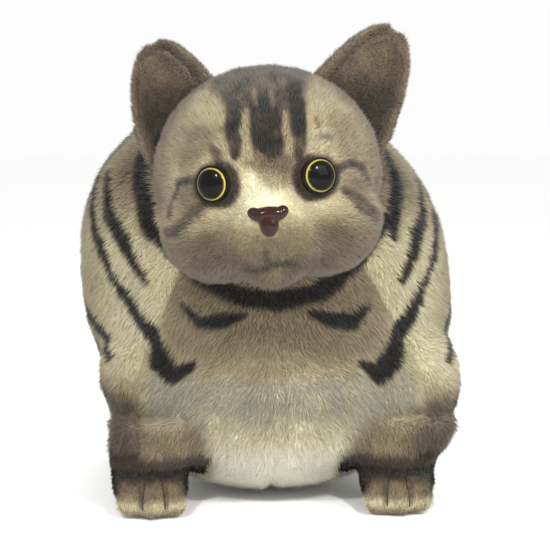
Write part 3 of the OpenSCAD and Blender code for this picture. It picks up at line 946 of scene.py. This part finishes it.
SIDE_HAIRS, BELLY_HAIRS, SLEEVE_HAIRS, PAW_HAIRS = 76000, 36000, 3500, 8500
DENSITY = 1.0
for i, side in enumerate(("left", "right")):
    for half, keep in (("front", front_half), ("back", back_half)):
        pile = grow_pile(side + "_side_" + half + "_pile", body[side + "_side_cloth"],
                         int(SIDE_HAIRS * DENSITY), print_torso, comb_body, reach_body, lie=34,
                         width=0.56, keep=keep, seed=11 + i)
        dress(pile, "torso")
    pile = grow_pile(side + "_belly_pile", body[side + "_belly_cloth"], int(BELLY_HAIRS * DENSITY),
                     print_torso, comb_body, reach_body, lie=30, width=0.56, seed=21 + i)
    dress(pile, "torso")
for i, leg in enumerate(LEGS):
    pile = grow_pile(leg + "_sleeve_pile", body[leg + "_sleeve_cloth"], int(SLEEVE_HAIRS * DENSITY),
                     print_leg, comb_leg, reach_leg, lie=32, seed=31 + i)
    dress(pile, "torso")
    pile = grow_pile(leg + "_paw_pile", body[leg + "_paw_cloth"], int(PAW_HAIRS * DENSITY),
                     print_and_shade_paw, comb_paw, reach_paw, lie=36, width=0.42, seed=41 + i)
    dress(pile, "torso")

# %% [markdown]
# ## Head
# The head is a broad ball with full cheeks, a low muzzle and a small chin. Like the body
# it is blown from balls, then cut into the gusset over its crown, two cheeks and a chin.

# %% Head skin and panels
HEAD_HALF, HEAD_LIFT = (57.0, 53.0, 54.0), 2.2
bm = bmesh.new()
add_ball(bm, (0, 0, HEAD_LIFT), HEAD_HALF, 40)
for side in (-1, 1):
    add_ball(bm, (side * 25, -21, -22), (30, 30, 27))
    add_ball(bm, (side * 11, -40, -28), (16, 20, 14))
add_ball(bm, (0, -38.5, -21.5), (25, 25, 23))
add_ball(bm, (0, -36, -39), (17, 17, 13))
head_skin = blow(bm, "head_skin", 2.6, 7)
bm = bmesh.new()
bm.from_mesh(head_skin.data)
for v in bm.verts:
    for x, y, z in EYES.values():
        away = math.hypot(v.co.x / MM - x, v.co.z / MM - z)
        if v.co.y < 0 and away < 19:
            v.co.y -= 3.3 * MM * (1 - (away / 19) ** 2) ** 2
bmesh.ops.transform(bm, matrix=HEAD, verts=bm.verts)
everything = bm.verts[:] + bm.edges[:] + bm.faces[:]
bmesh.ops.bisect_plane(bm, geom=everything, plane_co=NECK_AT + NECK_AXIS * NECK_CLEAR,
                       plane_no=-NECK_AXIS, clear_outer=True)
bm.to_mesh(head_skin.data)
bm.free()
UNHEAD = HEAD.inverted()


def head_plane(x, z, nx, nz):
    """A cutting plane across the head's own x and z."""
    return HEAD @ (Vector((x, 0, z)) * MM), (HEAD.to_3x3() @ Vector((nx, 0, nz))).normalized()


HEAD_CUTS = [head_plane(12, -18, 88, -18), head_plane(-12, -18, -88, -18),
             head_plane(12, -18, 62, 32), head_plane(-12, -18, -62, 32)]


def head_region(p):
    """The panel of the head that a point of its skin belongs to."""
    q = UNHEAD @ p / MM
    if q.z > -18 and abs(q.x) < 12 + (q.z + 18) * 18 / 88:
        return "crown_cloth"
    if q.z < -18 and abs(q.x) < 12 - (q.z + 18) * 32 / 62:
        return "chin_cloth"
    return "left_cheek_cloth" if q.x > 0 else "right_cheek_cloth"


head = split(head_skin, HEAD_CUTS, head_region)
for piece in head.values():
    dye_cloth(piece, print_and_shade_head)
sew(head["crown_cloth"], "head", "head_pile", "head_gusset", "head_filling")
sew(head["left_cheek_cloth"], "head", "face_pile", "left_cheek_panel")
sew(head["right_cheek_cloth"], "head", "face_pile", "right_cheek_panel")
sew(head["chin_cloth"], "head", "face_pile", "chin_panel")
print("head panels:", ", ".join(sorted(head)))

# %% [markdown]
# ## The face's pile
# Face fur is shorter than the body's. It is combed away from the nose in every direction,
# which is what gives a cat its round cheeks. Hairs that would cross an eye or the nose are
# left out, as they are trimmed on the real toy.

# %% Combing the face
NOSE_POINT = np.array(HEAD @ (Vector((0, -64, -14)) * MM))


def comb_head(points, normals):
    """Away from the nose."""
    return points - NOSE_POINT


def reach_head(points):
    """Short at the nose and round the eyes, and longer on the cheeks and the crown."""
    p = in_head(points)
    nose = np.linalg.norm(p - (0, -64, -19), axis=1)
    long = 2.2 + 3.0 * step(nose, 6, 45) + 0.8 * step(nose, 60, 100)
    for x, y, z in EYES.values():
        eye = np.linalg.norm(p[:, [0, 2]] - (x, z), axis=1)
        long *= 0.62 + 0.38 * step(eye, 9, 20)
    run = (points - np.array(NECK_AT)) @ np.array(NECK_AXIS) / MM
    return long * (0.7 + 0.3 * step(run, 2, 9))


def trim_face(roots, tips):
    """True for hairs that stay clear of the eyes and the nose."""
    kept = np.ones(len(roots), bool)
    for ends in (roots, tips):
        p = in_head(ends)
        for x, y, z in EYES.values():
            eye = np.linalg.norm(p[:, [0, 2]] - (x, z), axis=1)
            kept &= ~((eye < 8.8) & (p[:, 1] < 0))
        bar = (np.abs(p[:, 0]) < 9.0) & (np.abs(p[:, 2] + 15.4) < 3.6)
        stem = (np.abs(p[:, 0]) < 4.2) & (np.abs(p[:, 2] + 21) < 5.2)
        kept &= ~((bar | stem) & (p[:, 1] < -45))
    return kept


for i, (name, hairs, slot) in enumerate((("crown", 31000, "head_pile"),
                                         ("left_cheek", 32000, "face_pile"),
                                         ("right_cheek", 32000, "face_pile"),
                                         ("chin", 13000, "face_pile"))):
    pile = grow_pile(name + "_pile", head[name + "_cloth"], int(hairs * DENSITY), print_and_shade_head, comb_head,
                     reach_head, lie=38, width=0.42, keep=trim_face, seed=51 + i)
    dress(pile, "head")

# %% [markdown]
# ## Ears
# An ear is a thick, soft cup. It starts as a flat grid that is narrowed to a round tip and
# bent, then it is given a thickness and subdivided. A lining lies in the cup, darkened
# towards its bowl with painted shade.

# %% Ear cloths
EARS = {
    "left": {"side": 1, "root": (45, 4, 32), "lean": 37, "wide": 53, "high": 50},
    "right": {"side": -1, "root": (-43, 4, 35), "lean": -20, "wide": 53, "high": 42},
}
EAR_FACE_OUT, EAR_FOOT = 14, 15


def ear_frame(ear):
    """The frame of an ear: x across, y to the tip, z to the front."""
    turn = Matrix.Rotation(math.radians(ear["side"] * EAR_FACE_OUT), 4, "Z")
    lean = Matrix.Rotation(math.radians(ear["lean"]), 4, "Y")
    root = Matrix.Translation(Vector(ear["root"]) * MM)
    return HEAD @ root @ turn @ lean @ Matrix.Rotation(math.pi / 2, 4, "X")


def ear_sheet(ear, share, cup, lift, thick, name):
    """A cupped ear outline at a share of the full size."""
    bm = bmesh.new()
    bmesh.ops.create_grid(bm, x_segments=18, y_segments=18, size=1)
    for v in bm.verts:
        s, t = v.co.x, (v.co.y + 1) / 2
        up = -EAR_FOOT + t * (ear["high"] * (0.5 + 0.5 * share) + EAR_FOOT)
        rise = max(0, up / ear["high"])
        half = share * ear["wide"] / 2 * (1 - 0.42 * rise) * math.sqrt(max(0.03, 1 - (t * 0.985) ** 6))
        depth = cup * (s * s - 0.5) * (1 - 0.45 * rise) - 3.5 * rise * rise
        v.co = Vector((s * half, up, depth + lift)) * MM
    bmesh.ops.solidify(bm, geom=bm.faces, thickness=thick * MM)
    bmesh.ops.transform(bm, matrix=ear_frame(ear), verts=bm.verts)
    bmesh.ops.recalc_face_normals(bm, faces=bm.faces)
    piece = as_object(bm, name)
    piece.modifiers.new("round", "SUBSURF").levels = 1
    piece.modifiers["round"].render_levels = 1
    return apply_modifiers(piece)


def outside_head(roots, tips):
    """True for hairs that start outside the head."""
    p = (in_head(roots) - (0, 0, HEAD_LIFT)) / np.array(HEAD_HALF)
    return (p ** 2).sum(1) > 0.97


for i, (name, ear) in enumerate(EARS.items()):
    place = ear_frame(ear)
    tip_way = np.array(place.to_3x3() @ Vector((0, 1, 0)))
    cup_middle = np.array(place @ (Vector((0, 8, 0)) * MM))
    back_cloth = ear_sheet(ear, 1.0, 11, -2.5, 6.5, name + "_ear_cloth")
    lining = ear_sheet(ear, 0.7, 7, 1.0, 1.2, name + "_ear_lining_cloth")
    dye_cloth(back_cloth, print_ear)
    dye_cloth(lining, print_and_shade_ear_lining)
    pile = grow_pile(name + "_ear_pile", back_cloth, int(13000 * DENSITY), print_ear,
                     lambda p, n: np.tile(tip_way, (len(p), 1)), lambda p: np.full(len(p), 3.4),
                     lie=42, width=0.42, keep=outside_head, seed=61 + i)
    dress(pile, "head")
    pile = grow_pile(name + "_ear_lining_pile", lining, int(6000 * DENSITY), print_and_shade_ear_lining,
                     lambda p, n: p - cup_middle + 0.02 * tip_way, lambda p: np.full(len(p), 3.2),
                     lie=40, width=0.42, keep=outside_head, seed=65 + i)
    dress(pile, "head")
    for cloth, slot, node in ((back_cloth, "ear_pile", "_ear_back"), (lining, "ear_lining", "_ear_lining")):
        for face in cloth.data.polygons:
            face.use_smooth = True
        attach(cloth, "head")
        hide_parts(name + node)

# %% [markdown]
# ## Eyes
# Each eye is a black moulded rim, which the frame already has, with a clear-coated dome in
# it. A thin gold ring is painted under the coat, round a wide black pupil. The dome is a
# short arc spun round the eye's axis. The ring follows how far a point is from the axis.

# %% Eye domes
DOME_R, DOME_FOOT, DOME_TOP = 8.15, 1.0, 5.4
FACE_R = 59


def painted_eye():
    """Black with a gold ring, under a clear coat."""
    paint = bpy.data.materials.new("painted_eye")
    paint.use_nodes = True
    tree = paint.node_tree
    shader = tree.nodes["Principled BSDF"]
    reach = tree.nodes.new("ShaderNodeAttribute")
    reach.attribute_name = "ring"
    streaks = tree.nodes.new("ShaderNodeTexNoise")
    streaks.inputs["Scale"].default_value = 500
    shift = tree.nodes.new("ShaderNodeMath")
    shift.operation = "MULTIPLY_ADD"
    shift.inputs[1].default_value = 0.03
    place = tree.nodes.new("ShaderNodeTexCoord")
    ramp = tree.nodes.new("ShaderNodeValToRGB")
    stops = ((0.0, (4, 4, 4)), (0.87, (6, 6, 4)), (0.91, (78, 70, 24)), (0.95, (160, 148, 74)),
             (0.985, (118, 104, 38)), (1.0, (14, 12, 6)))
    while len(ramp.color_ramp.elements) < len(stops):
        ramp.color_ramp.elements.new(0.5)
    for stop, (at, colour) in zip(ramp.color_ramp.elements, stops):
        stop.position, stop.color = at, (*linear(colour), 1)
    tree.links.new(place.outputs["Object"], streaks.inputs["Vector"])
    tree.links.new(streaks.outputs["Fac"], shift.inputs[0])
    tree.links.new(reach.outputs["Fac"], shift.inputs[2])
    tree.links.new(shift.outputs["Value"], ramp.inputs["Fac"])
    tree.links.new(ramp.outputs["Color"], shader.inputs["Base Color"])
    shader.inputs["Roughness"].default_value = 0.3
    shader.inputs["Specular IOR Level"].default_value = 0.05
    shader.inputs["Coat Weight"].default_value = 1.0
    shader.inputs["Coat IOR"].default_value = 1.18
    shader.inputs["Coat Roughness"].default_value = 0.015
    return paint


def spun(arc):
    """A closed shape spun from an arc of points, each a radius and a height in mm."""
    bm = bmesh.new()
    line = [bm.verts.new(Vector((r, 0, z)) * MM) for r, z in arc]
    edges = [bm.edges.new(pair) for pair in zip(line, line[1:])]
    bmesh.ops.spin(bm, geom=line + edges, cent=(0, 0, 0), axis=(0, 0, 1), angle=2 * math.pi, steps=64,
                   use_merge=True)
    bmesh.ops.remove_doubles(bm, verts=bm.verts, dist=1e-7)
    bmesh.ops.recalc_face_normals(bm, faces=bm.faces)
    return bm


DOME_ARC = [(0, DOME_FOOT), (DOME_R, DOME_FOOT)]
for k in range(13):
    a = math.radians(6 + 84 * k / 12)
    DOME_ARC.append((DOME_R * math.cos(a) / math.cos(math.radians(6)),
                     DOME_FOOT + 0.3 + (DOME_TOP - DOME_FOOT - 0.3) * math.sin(a)))
DOME_ARC[-1] = (0, DOME_ARC[-1][1])
EYE_PAINT = painted_eye()
for name, (x, y, z) in EYES.items():
    place = (HEAD @ Matrix.Translation(Vector((x, y, z)) * MM)
             @ Matrix.Rotation(math.asin(x / FACE_R), 4, "Z")
             @ Matrix.Rotation(math.pi / 2 - math.asin(z / FACE_R), 4, "X"))
    bm = spun(DOME_ARC)
    rings = [math.hypot(v.co.x, v.co.y) / (DOME_R * MM) for v in bm.verts]
    bmesh.ops.transform(bm, matrix=place, verts=bm.verts)
    dome = as_object(bm, name + "_eye_dome")
    dome.data.attributes.new("ring", "FLOAT", "POINT").data.foreach_set("value", rings)
    dome.data.materials.append(EYE_PAINT)
    for face in dome.data.polygons:
        face.use_smooth = True
    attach(dome, "head")
    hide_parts(name + "_eye_iris", name + "_eye_lens")
print("eye domes spun")

# %% [markdown]
# ## Nose
# The nose is one glossy brown moulding, a wide bar with lifted ends over a short stem. Small
# balls make the T, and a fine remesh runs them into one soft-edged shape.

# %% Nose
NOSE_RISE = math.asin(4 / 27)
bm = bmesh.new()
add_ball(bm, (0, 3.8, 0.4), (9.4, 3.9, 4.2), 24)
add_ball(bm, (0, -0.4, 0.2), (4.8, 6.8, 4.2), 24)
for side in (-1, 1):
    add_ball(bm, (side * 7.0, 5.0, -0.2), (3.1, 2.9, 3.4), 16)
nose_place = (HEAD @ Matrix.Translation(Vector((0, -38, -23)) * MM)
              @ Matrix.Rotation(math.pi / 2 - NOSE_RISE, 4, "X") @ Matrix.Translation((0, 0, 27 * MM)))
bmesh.ops.transform(bm, matrix=nose_place, verts=bm.verts)
nose = blow(bm, "nose_cap", 0.5, 4)
for face in nose.data.polygons:
    face.use_smooth = True
nose.modifiers.new("round", "SUBSURF").levels = 1
nose.modifiers["round"].render_levels = 1


def moulded(name, colour, roughness, coat=0.0, mottle=0.25, scale=300, grain=0.00004, shine=0.5):
    """Moulded plastic: a faint mottle in the colour and a fine grain."""
    plastic = bpy.data.materials.new(name)
    plastic.use_nodes = True
    tree = plastic.node_tree
    shader = tree.nodes["Principled BSDF"]
    place = tree.nodes.new("ShaderNodeTexCoord")
    noise = tree.nodes.new("ShaderNodeTexNoise")
    noise.inputs["Scale"].default_value = scale
    ramp = tree.nodes.new("ShaderNodeValToRGB")
    ramp.color_ramp.elements[0].color = (*(linear(colour) * (1 - mottle)), 1)
    ramp.color_ramp.elements[1].color = (*np.minimum(linear(colour) * (1 + mottle), 1), 1)
    bump = tree.nodes.new("ShaderNodeBump")
    bump.inputs["Distance"].default_value = grain
    bump.inputs["Strength"].default_value = 0.3
    tree.links.new(place.outputs["Object"], noise.inputs["Vector"])
    tree.links.new(noise.outputs["Fac"], ramp.inputs["Fac"])
    tree.links.new(ramp.outputs["Color"], shader.inputs["Base Color"])
    tree.links.new(noise.outputs["Fac"], bump.inputs["Height"])
    tree.links.new(bump.outputs["Normal"], shader.inputs["Normal"])
    shader.inputs["Roughness"].default_value = roughness
    shader.inputs["Specular IOR Level"].default_value = shine
    shader.inputs["Coat Weight"].default_value = coat
    shader.inputs["Coat IOR"].default_value = 1.3
    shader.inputs["Coat Roughness"].default_value = 0.05
    return plastic


nose.data.materials.append(moulded("nose_plastic", (34, 8, 5), 0.34, coat=1.0, shine=0.06))
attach(nose, "head")
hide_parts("nose")

# %% [markdown]
# ## Tail
# The tail hangs behind on its own swivel. Overlapping balls along a quarter bend are blown
# into one sausage, and its pile is combed to the tip.

# %% Tail
TAIL_BEND, TAIL_START, TAIL_END = 72, 18, 96


def tail_point(turn):
    """A point of the tail's middle line, at a heading in degrees below level."""
    a, b = math.radians(turn), math.radians(TAIL_START)
    return TAIL_AT / MM + TAIL_BEND * Vector((0, math.sin(a) - math.sin(b), math.cos(a) - math.cos(b)))


bm = bmesh.new()
TAIL_BALLS = 26
for inward in (3, 6, 9, 12):
    add_ball(bm, TAIL_AT / MM - Vector((0, inward, -inward * 0.3)), (9.5, 9, 9.5), 12)
for k in range(TAIL_BALLS + 1):
    share = k / TAIL_BALLS
    r = 8.6 + 0.5 * math.sin(math.pi * share) - 0.8 * share
    add_ball(bm, tail_point(TAIL_START + (TAIL_END - TAIL_START) * share), (r, r, r), 12)
tail_cloth = blow(bm, "tail_cloth", 2.4, 4)
dye_cloth(tail_cloth, print_tail)


def comb_tail(points, normals):
    """Along the tail, to its tip."""
    middle = TAIL_AT + Vector((0, -math.sin(math.radians(TAIL_START)),
                               -math.cos(math.radians(TAIL_START)))) * TAIL_BEND * MM
    arm = points - np.array(middle)
    return np.stack([np.zeros(len(points)), arm[:, 2], -arm[:, 1]], 1)


pile = grow_pile("tail_pile", tail_cloth, int(12000 * DENSITY), print_tail, comb_tail,
                 lambda p: np.full(len(p), 5.0), lie=30, seed=71)
dress(pile, "tail")
sew(tail_cloth, "tail", "tail_pile", "tail_skin", "tail_filling")

# %% [markdown]
# ## Neck cloths
# Head and torso are each closed by a round of cloth, and the two slide on each other when
# the head turns. Each is filled into the open edge of its own skin, so it fits exactly.

# %% Neck cloths
def neck_cloth(sources, name, body, slot, node, sink):
    """Closes the open edge of some panels at the neck, with a lightly dished round."""
    bm = bmesh.new()
    for source in sources:
        bm.from_mesh(source.data)
    bmesh.ops.remove_doubles(bm, verts=bm.verts, dist=0.02 * MM)
    rim = [e for e in bm.edges if len(e.link_faces) == 1
           and all(abs((v.co - NECK_AT).dot(NECK_AXIS)) < 2 * MM for v in e.verts)]
    bmesh.ops.delete(bm, geom=bm.faces[:], context="FACES_ONLY")
    bmesh.ops.delete(bm, geom=[e for e in bm.edges if e not in set(rim)], context="EDGES")
    bmesh.ops.delete(bm, geom=[v for v in bm.verts if not v.link_edges], context="VERTS")
    bmesh.ops.contextual_create(bm, geom=bm.edges[:])
    for ring in range(4):
        middle = max(bm.faces, key=lambda f: len(f.verts))
        bmesh.ops.inset_region(bm, faces=[middle], thickness=5 * MM, depth=0)
        middle = max(bm.faces, key=lambda f: len(f.verts))
        bmesh.ops.translate(bm, verts=middle.verts[:], vec=NECK_AXIS * sink * MM)
    bmesh.ops.triangulate(bm, faces=[f for f in bm.faces if len(f.verts) > 4])
    bmesh.ops.recalc_face_normals(bm, faces=bm.faces)
    if sum(f.normal.dot(NECK_AXIS) for f in bm.faces) * sink > 0:
        bmesh.ops.reverse_faces(bm, faces=bm.faces)
    piece = as_object(bm, name)
    dye_cloth(piece, print_torso if body == "torso" else print_and_shade_head)
    sew(piece, body, slot, node, fill=0.3)
    return piece


torso_panels = [p for n, p in body.items() if n.endswith(("side_cloth", "belly_cloth"))]
neck_cloth(torso_panels, "body_neck_cloth", "torso", "neck_cloth", "body_neck_panel", -0.4)
neck_cloth(list(head.values()), "head_neck_cloth", "head", "neck_cloth", "head_neck_panel", 0.4)

# %% [markdown]
# ## Small sewn things
# A blank label hangs from the seam under the tail, and two threads mark off the toes of
# each paw. The threads are laid on the paw's skin by casting rays at it.

# %% Label and toe threads
low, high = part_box("sewn_label")
bm = bmesh.new()
bmesh.ops.create_grid(bm, x_segments=14, y_segments=8, size=0.5)
for v in bm.verts:
    run, rise = v.co.x + 0.5, v.co.y + 0.5
    wave = 1.1 * math.sin(2.6 * run) * (1 - rise)
    v.co = Vector((low.x + wave * MM, low.y + run * (high.y - low.y), low.z + rise * (high.z - low.z)))
bmesh.ops.solidify(bm, geom=bm.faces, thickness=0.7 * MM)
bmesh.ops.recalc_face_normals(bm, faces=bm.faces)
label = as_object(bm, "label_cloth")


def woven(name, colour, scale):
    """Fine woven tape, with two crossing sets of threads in its bump."""
    tape = bpy.data.materials.new(name)
    tape.use_nodes = True
    tree = tape.node_tree
    shader = tree.nodes["Principled BSDF"]
    place = tree.nodes.new("ShaderNodeTexCoord")
    waves = []
    for way in ("Y", "Z"):
        wave = tree.nodes.new("ShaderNodeTexWave")
        wave.bands_direction = way
        wave.inputs["Scale"].default_value = scale
        wave.inputs["Distortion"].default_value = 0.6
        tree.links.new(place.outputs["Object"], wave.inputs["Vector"])
        waves.append(wave)
    cross = tree.nodes.new("ShaderNodeMath")
    cross.operation = "MAXIMUM"
    tree.links.new(waves[0].outputs["Fac"], cross.inputs[0])
    tree.links.new(waves[1].outputs["Fac"], cross.inputs[1])
    ramp = tree.nodes.new("ShaderNodeValToRGB")
    ramp.color_ramp.elements[0].color = (*(linear(colour) * 0.7), 1)
    ramp.color_ramp.elements[1].color = (*linear(colour), 1)
    bump = tree.nodes.new("ShaderNodeBump")
    bump.inputs["Distance"].default_value = 0.0002
    tree.links.new(cross.outputs["Value"], ramp.inputs["Fac"])
    tree.links.new(ramp.outputs["Color"], shader.inputs["Base Color"])
    tree.links.new(cross.outputs["Value"], bump.inputs["Height"])
    tree.links.new(bump.outputs["Normal"], shader.inputs["Normal"])
    shader.inputs["Roughness"].default_value = 0.7
    return tape


label.data.materials.append(woven("label_weave", (238, 236, 230), 700))
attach(label, "torso")
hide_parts("sewn_label")

bm = bmesh.new()
THREAD_R = 0.35
for leg, (x, y) in LEGS.items():
    paw = bmesh.new()
    paw.from_mesh(body[leg + "_paw_cloth"].data)
    skin = BVHTree.FromBMesh(paw)
    middle = Vector((x, y - 6 * MM, 8 * MM))
    for turn in (-15, 15):
        laid = []
        for rise in range(-4, 58, 6):
            a, e = math.radians(turn), math.radians(rise)
            way = Vector((math.sin(a) * math.cos(e), -math.cos(a) * math.cos(e), math.sin(e)))
            hit = skin.ray_cast(middle + way * 0.06, -way, 0.06)[0]
            if hit:
                laid.append(hit + way * 0.5 * MM)
        for a, b in zip(laid, laid[1:]):
            add_post(bm, a / MM, b / MM, THREAD_R, THREAD_R)
    paw.free()
threads = as_object(bm, "toe_threads")
threads.data.materials.append(woven("dark_thread", (44, 36, 28), 1500))
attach(threads, "torso")
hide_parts("toe_stitches")

# %% [markdown]
# ## Finishes for the frame's own parts
# The black rims of the eyes show. The washers and the neck's discs are inside, and still
# get the plain moulded finish that they have on the bench.

# %% Finishes of the parts that stay
RIM = moulded("eye_rim_black", (7, 7, 6), 0.3, coat=0.3, shine=0.1)
INSIDE = moulded("joint_white", (226, 222, 208), 0.45)
STEEL = moulded("washer_steel", (150, 150, 148), 0.3)
for name, node in frame["nodes"].items():
    if node.hide_render:
        continue
    finish = RIM if name.endswith("eye_base") else STEEL if name == "neck_lock_washer" else INSIDE
    node.data.materials.clear()
    node.data.materials.append(finish)
print("left showing:", [n for n, o in frame["nodes"].items() if not o.hide_render])

# %% [markdown]
# ## The end

# %% Finish
bpy.context.view_layer.update()
